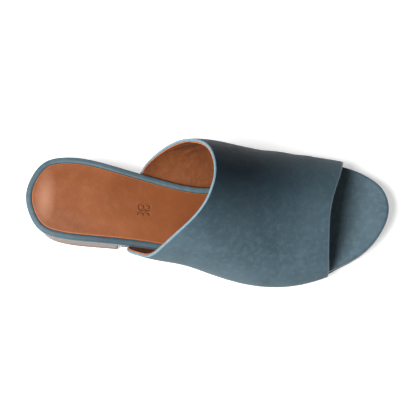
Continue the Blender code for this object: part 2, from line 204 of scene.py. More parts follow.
# Sections of the upper, as in the solids
SECTION_COLUMNS = (
    "station", "ridge", "ridge_side", "lateral_bulge", "lateral_wide", "medial_bulge",
    "medial_wide", "lateral_power", "medial_power",
)
SECTIONS = (
    (0.29, 0.95, 0.020, 0.034, 0.090, 0.085, 0.260, 1.50, 2.05),
    (0.36, 1.01, 0.035, 0.064, 0.145, 0.166, 0.330, 1.50, 2.10),
    (0.43, 1.04, 0.055, 0.052, 0.120, 0.249, 0.365, 1.55, 2.10),
    (0.50, 1.01, 0.070, 0.024, 0.055, 0.277, 0.350, 1.62, 1.95),
    (0.56, 0.835, 0.090, 0.007, 0.020, 0.223, 0.325, 1.70, 1.90),
    (0.62, 0.62, 0.105, 0.003, 0.000, 0.133, 0.225, 1.72, 1.90),
    (0.70, 0.357, 0.100, 0.003, -0.015, 0.038, 0.090, 1.70, 1.90),
    (0.78, 0.150, 0.068, 0.003, -0.015, 0.004, 0.015, 1.65, 1.90),
    (0.88, -0.060, 0.034, 0.003, -0.015, 0.002, -0.010, 1.60, 1.90),
)

# Ends of the upper round a section, as in the solids
ENDS_COLUMNS = ("around", "collar", "front")
ENDS = (
    (-1.00, 0.287, 0.834),
    (-0.85, 0.287, 0.835),
    (-0.70, 0.300, 0.836),
    (-0.55, 0.348, 0.838),
    (-0.45, 0.379, 0.838),
    (-0.35, 0.416, 0.835),
    (-0.25, 0.460, 0.833),
    (-0.12, 0.506, 0.832),
    (0.00, 0.523, 0.836),
    (0.12, 0.525, 0.845),
    (0.24, 0.515, 0.856),
    (0.36, 0.492, 0.863),
    (0.48, 0.447, 0.867),
    (0.60, 0.396, 0.869),
    (0.72, 0.348, 0.869),
    (0.85, 0.314, 0.868),
    (1.00, 0.311, 0.868),
)
ARCH_END_SHARE = 0.60
WALL_END_SHARE = 0.85
CORNER_END_SHARE = 0.92

# The footbed's rim from the pocket out: shares of RIM_WIDTH and of RIM_CROWN
RIM_CURVE = ((1, -0.3), (0.88, 0.45), (0.75, 0.8), (0.60, 1))

# The heel's breast from the sole down: shares of the heel's height and of BREAST_LEAN
BREAST_CURVE = (
    (1, 1), (0.92, 0.76), (0.85, 0.55), (0.75, 0.36), (0.65, 0.22), (0.52, 0.08), (0.4, 0), (0, 0),
)

# Creases in the leather and the lining, as soft lines from one place to another. Stations are
# shares of LENGTH, "around" is as in ENDS, and the depth and the half width are in metres. A
# negative depth is a ridge.
CREASE_COLUMNS = ("station_1", "around_1", "station_2", "around_2", "depth", "half_width")
LEATHER_CREASES = (
    (0.735, 0.56, 0.725, 0.18, 0.00030, 0.0055),
    (0.775, 0.54, 0.765, 0.20, -0.00025, 0.0050),
    (0.640, 0.56, 0.655, 0.24, 0.00025, 0.0065),
    (0.560, 0.10, 0.640, -0.20, 0.00030, 0.0070),
    (0.600, -0.05, 0.680, -0.42, -0.00030, 0.0080),
    (0.690, 0.08, 0.700, -0.34, 0.00030, 0.0060),
    (0.750, 0.05, 0.745, -0.38, 0.00025, 0.0050),
    (0.520, -0.38, 0.600, -0.56, 0.00030, 0.0070),
)
LINING_CREASES = (
    (0.395, 0.640, 0.470, 0.520, 0.0008, 0.0013),
    (0.400, 0.560, 0.450, 0.480, -0.0006, 0.0016),
    (0.430, 0.700, 0.490, 0.640, 0.0006, 0.0018),
    (0.450, 0.620, 0.515, 0.560, -0.0005, 0.0022),
)


def columns(names, table):
    """The table's columns by name."""
    return {name: np.array([row[i] for row in table]) for i, name in enumerate(names)}


def natural_curve(knots, rows, at):
    """The smoothest curve through the rows, read at the places in `at`."""
    knots = np.asarray(knots, float)
    rows = np.asarray(rows, float)
    span = np.diff(knots)
    system = np.eye(len(knots))
    right = np.zeros_like(rows)
    for i in range(1, len(knots) - 1):
        system[i, i - 1 : i + 2] = span[i - 1], 2 * (span[i - 1] + span[i]), span[i]
        right[i] = 6 * ((rows[i + 1] - rows[i]) / span[i] - (rows[i] - rows[i - 1]) / span[i - 1])
    bend = np.linalg.solve(system, right)
    at = np.asarray(at, float)
    i = np.clip(np.searchsorted(knots, at, side="right") - 1, 0, len(knots) - 2)
    before = (knots[i + 1] - at) / span[i]
    step = span[i]
    if rows.ndim > 1:
        before = before[..., None]
        step = step[..., None]
    after = 1 - before
    curved = (before**3 - before) * bend[i] + (after**3 - after) * bend[i + 1]
    return before * rows[i] + after * rows[i + 1] + curved * step**2 / 6


def level_curve(knots, values, at):
    """A smooth curve that never passes its rows, so that it stays level between equal ones."""
    span = np.diff(knots)
    slope = np.diff(values) / span
    tangent = np.zeros(len(knots))
    tangent[0] = slope[0]
    tangent[-1] = slope[-1]
    for i in range(1, len(knots) - 1):
        if slope[i - 1] * slope[i] > 0:
            tangent[i] = 2 * slope[i - 1] * slope[i] / (slope[i - 1] + slope[i])
    i = np.clip(np.searchsorted(knots, at, side="right") - 1, 0, len(knots) - 2)
    t = np.clip((at - knots[i]) / span[i], 0, 1)
    ends = (1 + 2 * t) * (1 - t) ** 2 * values[i] + t**2 * (3 - 2 * t) * values[i + 1]
    return ends + span[i] * (t * (1 - t) ** 2 * tangent[i] - t**2 * (1 - t) * tangent[i + 1])


def soft_step(low, high, at):
    t = np.clip((at - low) / (high - low), 0, 1)
    return t * t * (3 - 2 * t)


def footbed_top(station):
    """Height of the footbed's top face above the floor."""
    table = columns(PROFILE_COLUMNS, PROFILE)
    share = np.asarray(station, float) / LENGTH
    heel = level_curve(table["station"], table["heel"], share)
    toe = level_curve(table["station"], table["toe"], share)
    return BALL_HEIGHT + HEEL_RISE * heel + TOE_SPRING * toe


def footbed_bottom(station):
    return footbed_top(station) - STACK_UNDER_MARGIN


def outsole_top(station):
    return footbed_bottom(station) - GAP


def dense_outline():
    """Each side of the footbed's outline from heel to toe, with the direction that points out."""
    table = columns(OUTLINE_COLUMNS, OUTLINE)
    width = np.array([WIDTHS[name] for name in table["width"]])
    medial = np.c_[table["station"] * LENGTH, table["medial"] * width]
    lateral = np.c_[table["station"] * LENGTH, -table["lateral"] * width]
    loop = np.concatenate([medial, lateral[-2:0:-1]])
    overlap = 6
    rows = np.concatenate([loop[-overlap:], loop, loop[: overlap + 1]])
    knots = np.r_[0, np.cumsum(np.hypot(*np.diff(rows, axis=0).T))]
    heel = knots[overlap]
    toe = knots[overlap + len(medial) - 1]
    back = knots[overlap + len(loop)]
    sides = []
    for first, last, turn in ((heel, toe, 1), (back, toe, -1)):
        at = np.linspace(first, last, OUTLINE_POINTS)
        near = abs(at[1] - at[0]) / 2
        ahead = natural_curve(knots, rows, at + turn * near)
        tangent = ahead - natural_curve(knots, rows, at - turn * near)
        tangent /= np.hypot(*tangent.T)[:, None]
        sides.append((natural_curve(knots, rows, at), turn * np.c_[-tangent[:, 1], tangent[:, 0]]))
    return sides


MEDIAL, LATERAL = 0, 1
OUTLINE_SIDES = dense_outline()


def margin_ends(side):
    """Stations between which the upper's margin lies under the footbed's edge."""
    under = np.linspace(WALL_END_SHARE, 1, 16) * (1 if side == MEDIAL else -1)
    ends = columns(ENDS_COLUMNS, ENDS)
    collar = natural_curve(ends["around"], ends["collar"], under)
    front = natural_curve(ends["around"], ends["front"], under)
    return collar.min() * LENGTH, front.max() * LENGTH


def margin_steps(side):
    """Stations of the points on both sides of each end of the margin's rebate."""
    first, last = margin_ends(side)
    return np.array([first - 2 * GAP, first - GAP, last + GAP, last + 2 * GAP])


def edge_line(side, inset, first=None, last=None):
    """One side of the outline moved in by the inset, between two stations or the outline's ends."""
    points, outward = OUTLINE_SIDES[side]
    if callable(inset):
        inset = inset(points[:, 0])[:, None]
    moved = points - outward * inset
    share = np.linspace(0, 1, len(moved))
    even = np.linspace(0, 1, SIDE_POINTS)
    at = even - END_CROWDING * np.sin(2 * math.pi * even)
    at = np.sort(np.r_[at, np.interp(margin_steps(side), moved[:, 0], share)])
    if first is not None:
        at = np.maximum(at, np.interp(first, moved[:, 0], share))
    if last is not None:
        at = np.minimum(at, np.interp(last, moved[:, 0], share))
    return np.c_[np.interp(at, share, moved[:, 0]), np.interp(at, share, moved[:, 1])]


def edge_side(station, side):
    """Side of the footbed's edge, and how much longer its cross cut is than its normal."""
    points, outward = OUTLINE_SIDES[side]
    at = np.interp(station, points[:, 0], points[:, 1])
    sideways = np.maximum(np.abs(outward[:, 1]), LEAST_SIDEWAYS)
    slant = np.interp(station, points[:, 0], 1 / sideways)
    return at, slant


def edge_distance(station, side):
    """Distance of each place on the footbed from the nearest point of its outline."""
    outline = np.concatenate([points[::3] for points, _ in OUTLINE_SIDES])
    places = np.stack([np.ravel(station), np.ravel(side)], axis=1)
    nearest = [np.hypot(*(outline - spot).T).min() for spot in places]
    return np.reshape(nearest, np.shape(station))


def ring(inset, height, first=(None, None), last=(None, None)):
    """Both sides of a line round the shoe, as paired points at the given height."""
    pair = []
    for side in (MEDIAL, LATERAL):
        line = edge_line(side, inset, first[side], last[side])
        z = height(line[:, 0], side) if callable(height) else np.full(len(line), height)
        pair.append(np.c_[line, z])
    return np.array(pair)


def above(face, offset):
    """Height of a ring's points: the face at their stations, moved up by the offset."""
    return lambda station, side: face(station) + offset


def place(points):
    """From stations to the shoe's own frame."""
    points = np.array(points, float)
    points[..., 0] -= ORIGIN_STATION
    return points


def finished_piece(name, bm, materials, replaced, sharp=40):
    """A mesh piece from the bmesh, in the scene, riding with the shoe."""
    bmesh.ops.remove_doubles(bm, verts=bm.verts, dist=1e-6)
    bmesh.ops.recalc_face_normals(bm, faces=bm.faces)
    mesh = bpy.data.meshes.new(name)
    bm.to_mesh(mesh)
    bm.free()
    mesh.shade_smooth()
    mesh.set_sharp_from_angle(angle=math.radians(sharp))
    piece = bpy.data.objects.new(name, mesh)
    bpy.context.scene.collection.objects.link(piece)
    for material in materials:
        mesh.materials.append(material)
    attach(piece, BODY)
    if replaced:
        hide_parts(replaced)
    return piece


def grid_faces(bm, grid, material=lambda row: 0):
    """Four-sided faces over a grid of vertices, as rows of columns."""
    for row, (near, far) in enumerate(zip(grid, grid[1:])):
        for i in range(len(near) - 1):
            face = bm.faces.new((near[i], near[i + 1], far[i + 1], far[i]))
            face.material_index = material(row)


def loft(rings, first_face=None, last_face=None, ring_material=lambda row: 0):
    """A closed solid through paired rings, filled from side to side at the first and the last."""
    bm = bmesh.new()
    rows = []
    share = np.linspace(0, 1, ACROSS + 1)[:, None, None]
    for pair in rings:
        sheet = pair[MEDIAL] * (1 - share) + pair[LATERAL] * share
        loop = np.concatenate([sheet[0], sheet[1:-1, -1], sheet[-1, ::-1], sheet[-2:0:-1, 0]])
        made = [bm.verts.new(point) for point in place(loop)]
        rows.append(made + made[:1])
    grid_faces(bm, rows, ring_material)
    for pair, face in ((rings[0], first_face), (rings[-1], last_face)):
        sheet = pair[MEDIAL] * (1 - share) + pair[LATERAL] * share
        if face is not None:
            inner = sheet[1:-1, 1:-1]
            inner[..., 2] = face(inner[..., 0], inner[..., 1])
        grid = [[bm.verts.new(point) for point in row] for row in place(sheet)]
        grid_faces(bm, grid)
    return bm


# Materials


def node(tree, kind, inputs=None, **settings):
    made = tree.nodes.new(kind)
    for key, value in settings.items():
        setattr(made, key, value)
    for key, value in (inputs or {}).items():
        if isinstance(value, bpy.types.NodeSocket):
            tree.links.new(value, made.inputs[key])
        else:
            made.inputs[key].default_value = value
    return made


def new_material(name, roughness, specular=0.5, sheen=0.0, coat=0.0):
    """A material, its tree, its shader, and the object's coordinates in it."""
    material = bpy.data.materials.new(name)
    material.use_nodes = True
    tree = material.node_tree
    shader = tree.nodes["Principled BSDF"]
    shader.inputs["Roughness"].default_value = roughness
    shader.inputs["Specular IOR Level"].default_value = specular
    shader.inputs["Sheen Weight"].default_value = sheen
    shader.inputs["Sheen Roughness"].default_value = 0.4
    shader.inputs["Coat Weight"].default_value = coat
    shader.inputs["Coat Roughness"].default_value = 0.35
    spots = node(tree, "ShaderNodeTexCoord").outputs["Object"]
    return material, tree, shader, spots


def noise(tree, spots, scale, detail=3.0, stretch=(1, 1, 1), distortion=0.0):
    """Noise from 0 to 1, with about `scale` spots to the metre."""
    mapped = node(tree, "ShaderNodeMapping", {"Vector": spots, "Scale": stretch}).outputs[0]
    made = node(
        tree,
        "ShaderNodeTexNoise",
        {"Vector": mapped, "Scale": scale, "Detail": detail, "Distortion": distortion},
    )
    return made.outputs["Fac"]


def pores(tree, spots, scale):
    """Height of leather's pores, with about `scale` of them to the metre."""
    made = node(tree, "ShaderNodeTexVoronoi", {"Vector": spots, "Scale": scale})
    return made.outputs["Distance"]


def ranged(tree, value, low, high, to_low=0.0, to_high=1.0):
    """The value moved from one range to another, and kept within it."""
    inputs = {
        "Value": value, "From Min": low, "From Max": high, "To Min": to_low, "To Max": to_high,
    }
    return node(tree, "ShaderNodeMapRange", inputs).outputs["Result"]


def mixed(tree, share, first, second):
    """Two colours mixed by the share."""
    made = node(tree, "ShaderNodeMix", data_type="RGBA")
    for index, value in ((0, share), (6, first), (7, second)):
        if isinstance(value, bpy.types.NodeSocket):
            tree.links.new(value, made.inputs[index])
        else:
            made.inputs[index].default_value = value if index == 0 else (*value, 1)
    return made.outputs[2]


def math_node(tree, operation, first, second=0.0):
    made = node(tree, "ShaderNodeMath", {0: first, 1: second}, operation=operation)
    return made.outputs[0]


def bumped(tree, shader, layers):
    """Bumps on the shader: each layer is a height from 0 to 1 and its depth in metres."""
    normal = None
    for height, depth in layers:
        made = node(tree, "ShaderNodeBump", {"Height": height, "Distance": depth, "Strength": 1.0})
        if normal is not None:
            tree.links.new(normal, made.inputs["Normal"])
        normal = made.outputs["Normal"]
    tree.links.new(normal, shader.inputs["Normal"])


def patch(tree, spots, middle, reach):
    """1 at a place on the shoe, falling softly to 0 at its reach along and across the shoe."""
    moved = node(tree, "ShaderNodeVectorMath", {0: spots, 1: (*middle, 0)}, operation="SUBTRACT")
    size = (1 / reach[0], 1 / reach[1], 0)
    shares = node(
        tree, "ShaderNodeVectorMath", {0: moved.outputs[0], 1: size}, operation="MULTIPLY"
    )
    away = node(tree, "ShaderNodeVectorMath", {0: shares.outputs[0]}, operation="LENGTH")
    return ranged(tree, away.outputs["Value"], 1.0, PATCH_CORE)


def leather(name, deep, middle, pale, roughness, sheen, grain, specular=0.35, painted_shade=None,
            wrinkle=0.0):
    """Leather whose dye is uneven: large soft clouds, small mottling, pores and a few pale rubs.

    Its patch of darker colour is painted shade. The grain and the wrinkle are depths in metres.
    """
    material, tree, shader, spots = new_material(name, roughness, specular, sheen)
    clouds = noise(tree, spots, 28, 2.5, (1.0, 0.7, 1.0), 0.4)
    mottling = noise(tree, spots, 260, 4.0)
    fibres = noise(tree, spots, 1500, 2.0, (1.0, 0.6, 1.0))
    dyed = mixed(tree, ranged(tree, clouds, 0.32, 0.68), deep, middle)
    dyed = mixed(tree, ranged(tree, mottling, 0.45, 0.85, 0.0, 0.35), dyed, pale)
    dyed = mixed(tree, ranged(tree, fibres, 0.55, 0.9, 0.0, 0.25), dyed, pale)
    # Painted shade: a patch that pulls the colour towards a darker one
    if painted_shade is not None:
        middle_place, reach, color, strength = painted_shade
        dark = patch(tree, spots, middle_place, reach)
        dyed = mixed(tree, math_node(tree, "MULTIPLY", dark, strength), dyed, color)
    tree.links.new(dyed, shader.inputs["Base Color"])
    rough = ranged(tree, mottling, 0.3, 0.7, roughness - 0.05, roughness + 0.06)
    tree.links.new(rough, shader.inputs["Roughness"])
    layers = [(pores(tree, spots, 1100.0), grain), (noise(tree, spots, 420), grain * 1.6)]
    if wrinkle:
        layers.insert(0, (noise(tree, spots, 75, 2.0, (1.0, 1.0, 0.6), 1.2), wrinkle))
    bumped(tree, shader, layers)
    return material


def edge_paint(name, color, dark):
    """Paint on a cut leather edge: thin, a little uneven, with short streaks."""
    material, tree, shader, spots = new_material(name, 0.55, 0.4)
    streaks = noise(tree, spots, 500, 3.0)
    dyed = mixed(tree, ranged(tree, streaks, 0.35, 0.75), color, dark)
    tree.links.new(dyed, shader.inputs["Base Color"])
    bumped(tree, shader, ((streaks, 0.00005),))
    return material


def sock_leather(name, deep, middle, pale, stamp):
    """Smooth tan leather, stamped, with painted shade under the upper and a painted highlight at
    the heel.
    """
    material, tree, shader, spots = new_material(name, 0.52, 0.25, 0.03)
    clouds = noise(tree, spots, 24, 2.0, (1.0, 1.0, 1.0), 0.3)
    mottling = noise(tree, spots, 190, 4.0)
    fine = noise(tree, spots, 1300, 2.0)
    dyed = mixed(tree, ranged(tree, clouds, 0.35, 0.65), deep, middle)
    dyed = mixed(tree, ranged(tree, mottling, 0.45, 0.8, 0.0, 0.22), dyed, pale)
    dyed = mixed(tree, ranged(tree, fine, 0.5, 0.9, 0.0, 0.2), dyed, pale)
    # Painted shade, darker under the upper
    painted_shade_share = math_node(tree, "MULTIPLY", patch(tree, spots, *PAINTED_SOCK_SHADE), PAINTED_SOCK_SHADE_STRENGTH)
    dyed = mixed(tree, painted_shade_share, dyed, deep)
    # Painted highlight, paler over the heel
    painted_highlight_share = math_node(tree, "MULTIPLY", patch(tree, spots, *PAINTED_SOCK_HIGHLIGHT), PAINTED_SOCK_HIGHLIGHT_STRENGTH)
    dyed = mixed(tree, painted_highlight_share, dyed, PAINTED_SOCK_HIGHLIGHT_COLOR)
    pressed = stamped_number(tree, spots, *stamp)
    # The strokes are darker: pressed leather, and painted shade in their grooves
    dyed = mixed(tree, math_node(tree, "MULTIPLY", pressed, 0.35), dyed, deep)
    tree.links.new(dyed, shader.inputs["Base Color"])
    layers = (
        (math_node(tree, "SUBTRACT", 1.0, pressed), STAMP_DEPTH),
        (pores(tree, spots, 900.0), 0.00004),
        (noise(tree, spots, 300), 0.00008),
    )
    bumped(tree, shader, layers)
    return material


def stamped_number(tree, spots, middle, height, stroke):
    """1 inside the strokes of a stamped 38 and 0 away from them, from the rings of its digits.

    The number reads across the shoe, from its lateral to its medial side.
    """
    parted = node(tree, "ShaderNodeSeparateXYZ", {0: spots})
    x, y = parted.outputs[0], parted.outputs[1]
    radius = height / 4
    nearest = None
    for digit, side in ((3, -1), (8, 1)):
        for row in (-1, 1):
            centre_x = middle[0] + row * radius * RING_SPREAD
            centre_y = middle[1] + side * height * DIGIT_SPREAD
            across = math_node(tree, "SUBTRACT", y, centre_y)
            across = math_node(tree, "MULTIPLY", across, DIGIT_NARROWING)
            along = math_node(tree, "SUBTRACT", x, centre_x)
            squares = [math_node(tree, "POWER", math_node(tree, "ABSOLUTE", part), 2.0)
                       for part in (across, along)]
            away = math_node(tree, "SQRT", math_node(tree, "ADD", *squares))
            away = math_node(tree, "ABSOLUTE", math_node(tree, "SUBTRACT", away, radius))
            if digit == 3:
                open_side = math_node(tree, "LESS_THAN", across, -THREE_OPENING * radius)
                away = math_node(tree, "ADD", away, math_node(tree, "MULTIPLY", open_side, height))
            nearest = away if nearest is None else math_node(tree, "MINIMUM", nearest, away)
    return ranged(tree, nearest, stroke * 0.7, stroke * 0.3)


def stacked(name, pale, brown, line):
    """A stacked heel: thin level layers, each with its own tone, and a fine line between them."""
    material, tree, shader, spots = new_material(name, 0.5, 0.3, 0.0, 0.05)
    layers = noise(tree, spots, 1.0, 3.0, (6, 6, 520))
    streaks = noise(tree, spots, 1.0, 4.0, (60, 60, 2200))
    # The wave's phase grows by 20 times its scale to the metre
    wave = node(
        tree,
        "ShaderNodeTexWave",
        {"Vector": spots, "Scale": 2 * math.pi / (20 * LAYER_PITCH), "Distortion": 0.35,
         "Detail": 2.0, "Detail Scale": 0.3},
        wave_type="BANDS",
        bands_direction="Z",
    ).outputs["Fac"]
    seams = ranged(tree, wave, 0.90, 1.0)
    dyed = mixed(tree, ranged(tree, layers, 0.35, 0.65), pale, brown)
    dyed = mixed(tree, ranged(tree, streaks, 0.45, 0.75, 0.0, 0.5), dyed, brown)
    dyed = mixed(tree, math_node(tree, "MULTIPLY", seams, 0.75), dyed, line)
    tree.links.new(dyed, shader.inputs["Base Color"])
    bumped(tree, shader, ((math_node(tree, "SUBTRACT", 1.0, seams), 0.00008), (streaks, 0.00004)))
    return material


def rubber(name, color, pale):
    """Dull rubber with pale dust on it."""
    material, tree, shader, spots = new_material(name, 0.75, 0.35)
    dust = noise(tree, spots, 160, 4.0)
    dyed = mixed(tree, ranged(tree, dust, 0.5, 0.85, 0.0, 0.5), color, pale)
    tree.links.new(dyed, shader.inputs["Base Color"])
    bumped(tree, shader, ((noise(tree, spots, 1800, 2.0), 0.00005),))
    return material


# The upper


def section_point(station, around):
    """A point of the upper's outer face at a station, `around` from margin to margin."""
    table = columns(SECTION_COLUMNS, SECTIONS)
    share = station / LENGTH
    row = {
        name: natural_curve(table["station"], table[name], share) for name in SECTION_COLUMNS[1:]
    }
    medial = around > 0
    sign = np.where(medial, 1.0, -1.0)
    edges = [edge_side(station, side) for side in (MEDIAL, LATERAL)]
    edge = np.where(medial, edges[MEDIAL][0], edges[LATERAL][0])
    slant = np.where(medial, edges[MEDIAL][1], edges[LATERAL][1])
    bulge = np.where(medial, row["medial_bulge"], row["lateral_bulge"]) * BALL_WIDTH
    wide = np.where(medial, row["medial_wide"], row["lateral_wide"]) * INSTEP_HEIGHT
    power = np.where(medial, row["medial_power"], row["lateral_power"])
    top = footbed_top(station)
    foot = top - STACK_UNDER_MARGIN
    base = edge + sign * (WALL + GAP) * slant
    widest = base + sign * bulge
    ridge = TOE_BOX_HEIGHT + (INSTEP_HEIGHT - TOE_BOX_HEIGHT) * row["ridge"]
    ridge_side = row["ridge_side"] * BALL_WIDTH
    away = np.abs(around)
    # Arch: from the ridge out to the widest line
    turn = np.clip(away / ARCH_END_SHARE, 0, 1) * math.pi / 2
    out = np.sin(turn) ** (2 / power)
    up = np.cos(turn) ** (2 / power)
    y = ridge_side + (widest - ridge_side) * out
    z = top + wide + (ridge - wide) * up
    # Wall: from the widest line in to the corner over the sole
    down = np.clip((away - ARCH_END_SHARE) / (WALL_END_SHARE - ARCH_END_SHARE), 0, 1)
    y = np.where(away > ARCH_END_SHARE, widest - sign * bulge * down**2, y)
    low = foot + CORNER_RADIUS
    z = np.where(away > ARCH_END_SHARE, top + wide + (low - top - wide) * down, z)
    # Corner: round the footbed's edge
    corner = np.clip((away - WALL_END_SHARE) / (CORNER_END_SHARE - WALL_END_SHARE), 0, 1)
    round_turn = corner * math.pi / 2
    y = np.where(away > WALL_END_SHARE, base - sign * CORNER_RADIUS * (1 - np.cos(round_turn)), y)
    z = np.where(away > WALL_END_SHARE, low - CORNER_RADIUS * np.sin(round_turn), z)
    # Margin: in under the footbed
    margin = np.clip((away - CORNER_END_SHARE) / (1 - CORNER_END_SHARE), 0, 1)
    reach = (LASTING_MARGIN + WALL + GAP - CORNER_RADIUS) * slant
    y = np.where(away > CORNER_END_SHARE, base - sign * (CORNER_RADIUS + reach * margin), y)
    z = np.where(away > CORNER_END_SHARE, foot, z)
    return np.stack([station, y, z], axis=-1)


def around_steps():
    """Places round the section at which the upper has a line of points."""
    half = np.concatenate([
        np.linspace(0, ARCH_END_SHARE, ARCH_STEPS + 1),
        np.linspace(ARCH_END_SHARE, WALL_END_SHARE, LOWER_STEPS + 1)[1:],
        np.linspace(WALL_END_SHARE, CORNER_END_SHARE, CORNER_STEPS + 1)[1:],
        np.linspace(CORNER_END_SHARE, 1, FLANGE_STEPS + 1)[1:],
    ])
    return np.concatenate([-half[:0:-1], half])


def outward_normals(sheet):
    """Directions that point out of the sheet's outer face."""
    along = np.gradient(sheet, axis=0)
    across = np.gradient(sheet, axis=1)
    normals = np.cross(along, across)
    normals /= np.maximum(np.linalg.norm(normals, axis=-1), 1e-12)[..., None]
    middle = sheet.shape[1] // 2
    return normals if normals[len(sheet) // 2, middle, 2] > 0 else -normals


def crease_depths(sheet, creases):
    """How far the creases move each point of the sheet in, from the point's distance to them."""
    table = columns(CREASE_COLUMNS, creases)
    moved = np.zeros(sheet.shape[:2])
    for i in range(len(creases)):
        stations = np.linspace(table["station_1"][i], table["station_2"][i], 24) * LENGTH
        arounds = np.linspace(table["around_1"][i], table["around_2"][i], 24)
        line = section_point(stations, arounds)
        away = np.full(moved.shape, np.inf)
        for point, share in zip(line, np.linspace(-1, 1, len(line))):
            further = 1 + CREASE_RUN_OUT * max(0, abs(share) - CREASE_BODY)
            away = np.minimum(away, np.linalg.norm(sheet - point, axis=-1) * further)
        moved += table["depth"][i] * np.exp(-((away / table["half_width"][i]) ** 2))
    return moved


def upper_sheet(setback, creases):
    """Points and outward directions of the upper's outer face, cut back from both ends."""
    around = around_steps()
    ends = columns(ENDS_COLUMNS, ENDS)
    collar = natural_curve(ends["around"], ends["collar"], around) * LENGTH + setback
    front = natural_curve(ends["around"], ends["front"], around) * LENGTH - setback
    share = np.linspace(0, 1, ALONG_UPPER + 1)
    near = PAINTED_EDGE / (LENGTH * UPPER_LENGTH_SHARE)
    share = np.sort(np.r_[share, near, 2 * near, 1 - near, 1 - 2 * near])[:, None]
    stations = collar * (1 - share) + front * share
    sheet = section_point(stations, np.broadcast_to(around, stations.shape))
    normals = outward_normals(sheet)
    sheet = sheet - normals * crease_depths(sheet, creases)[..., None]
    return sheet, outward_normals(sheet)


def shell(sheet, normals, outer, inner, dents=0):
    """A closed skin between two depths under the sheet, with rounded cut ends.

    Its faces have material 0, its cut end at the collar has 1 and the one at the front has 2. The
    dents move its inner face further in.
    """
    bm = bmesh.new()
    outer_face = sheet - normals * outer
    inner_face = sheet - normals * (inner + np.broadcast_to(dents, sheet.shape[:2])[..., None])
    half = (inner - outer) / 2
    turns = np.linspace(0, math.pi, EDGE_STEPS + 2)[1:-1]
    round_rows = []
    for end, beside in ((0, 1), (-1, -2)):
        outwards = sheet[end] - sheet[beside]
        outwards /= np.linalg.norm(outwards, axis=-1)[:, None]
        outwards *= half * CUT_ROUNDNESS
        middle = (outer_face[end] + inner_face[end]) / 2
        round_rows.append([
            middle + normals[end] * half * math.cos(turn) + outwards * math.sin(turn)
            for turn in turns
        ])
    at_collar, at_front = round_rows
    loop = list(outer_face) + at_front + list(inner_face[::-1]) + at_collar[::-1]
    grid = [[bm.verts.new(point) for point in row] for row in place(loop)]
    grid.append(grid[0])
    last = len(sheet) - 1

    def material(row):
        if row < 1 or row >= len(loop) - EDGE_STEPS - 1:
            return 1
        if last - 1 <= row < last + EDGE_STEPS + 1:
            return 2
        return 0

    grid_faces(bm, grid, material)
    for column in (0, -1):
        outer_line = [row[column] for row in grid[: last + 1]]
        inner_rows = grid[last + 1 + EDGE_STEPS : 2 * last + 2 + EDGE_STEPS]
        inner_line = [row[column] for row in reversed(inner_rows)]
        for i in range(last):
            bm.faces.new((outer_line[i], outer_line[i + 1], inner_line[i + 1], inner_line[i]))
        front = [row[column] for row in grid[last : last + EDGE_STEPS + 2]]
        collar = [row[column] for row in grid[2 * last + 1 + EDGE_STEPS : len(loop)]]
        bm.faces.new(front)
        bm.faces.new(collar + [grid[0][column]])
    return bm


def make_upper():
    split = WALL * LEATHER_SHARE
    # The vamp's leather takes painted shade over its ridge and medial half
    slate = leather(
        "vamp_leather", (0.046, 0.082, 0.104), (0.072, 0.120, 0.149), (0.14, 0.215, 0.255),
        roughness=0.64, sheen=0.03, grain=0.00007, specular=0.15, painted_shade=VAMP_PAINTED_SHADE,
    )
    lining = leather(
        "vamp_lining", (0.125, 0.036, 0.012), (0.19, 0.060, 0.020), (0.27, 0.095, 0.038),
        roughness=0.5, sheen=0.05, grain=0.00008, wrinkle=0.0011,
    )
    painted = edge_paint("collar_edge_paint", (0.180, 0.295, 0.365), (0.13, 0.225, 0.285))
    cut = edge_paint("front_edge_paint", (0.095, 0.150, 0.180), (0.07, 0.115, 0.14))
    raw = edge_paint("lining_raw_edge", (0.48, 0.155, 0.05), (0.33, 0.10, 0.035))
    sheet, normals = upper_sheet(0, LEATHER_CREASES)
    bm = shell(sheet, normals, 0, split)
    finished_piece("upper_leather", bm, (slate, painted, cut), "upper", 60)
    sheet, normals = upper_sheet(LINING_SETBACK, LEATHER_CREASES)
    pleats = crease_depths(sheet, LINING_CREASES)
    bm = shell(sheet, normals, split + PLY_GAP, WALL, pleats)
    finished_piece("upper_lining", bm, (lining, raw, cut), None, 60)


# The footbed and the sock


def bare_toe(station):
    """0 under the sock and 1 ahead of it, where the platform is bare."""
    return soft_step(SOCK_FRONT + POCKET_RUN_OUT / 4, SOCK_FRONT + POCKET_RUN_OUT, station)


def pocket_floor(station):
    """Height of the pocket that the sock lies in, which runs out at the toe."""
    return footbed_top(station) - (SOCK_THICKNESS + GAP) * (1 - bare_toe(station))


def footbed_edge_bottom(station, side):
    """Underside of the footbed's edge: raised by the upper's wall where its margin passes."""
    first, last = margin_ends(side)
    inside = (station > first - 1.5 * GAP) & (station < last + 1.5 * GAP)
    return footbed_bottom(station) + (WALL + GAP) * inside


